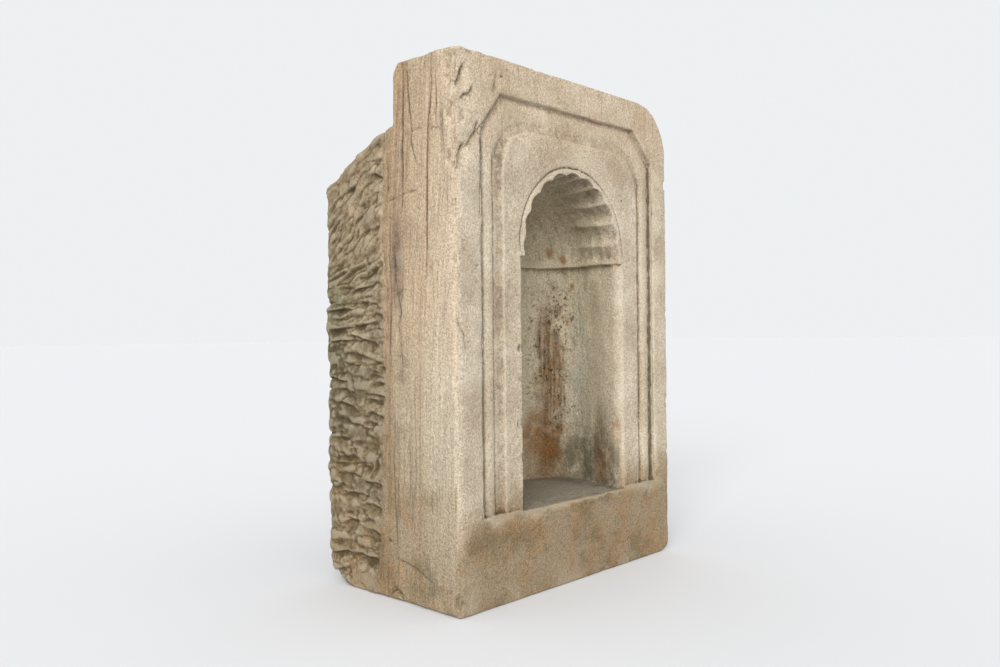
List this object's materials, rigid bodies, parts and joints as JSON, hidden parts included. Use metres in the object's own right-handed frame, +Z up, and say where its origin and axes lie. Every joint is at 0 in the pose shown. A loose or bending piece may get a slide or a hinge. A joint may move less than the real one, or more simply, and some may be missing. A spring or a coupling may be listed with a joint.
{
  "type": "carved stone wall niche",
  "caption": "Block of sandstone with a moulded frame around an arched lamp niche under a fluted shell hood, with a plain plinth below and a rough-hewn tail behind.",
  "frame": {"origin": "bottom centre of the block's bounding box, on the plane it stands on", "axes": "+Z up, the carved front faces -Y, +X to the right as seen from the front"},
  "size_m": [0.478, 0.283, 0.72],
  "materials": {
    "sandstone": "weathered buff sandstone, dressed in front and rough-hewn behind, matt"
  },
  "bodies": {
    "root": {"niche_block": "sandstone"}
  },
  "joints": []
}
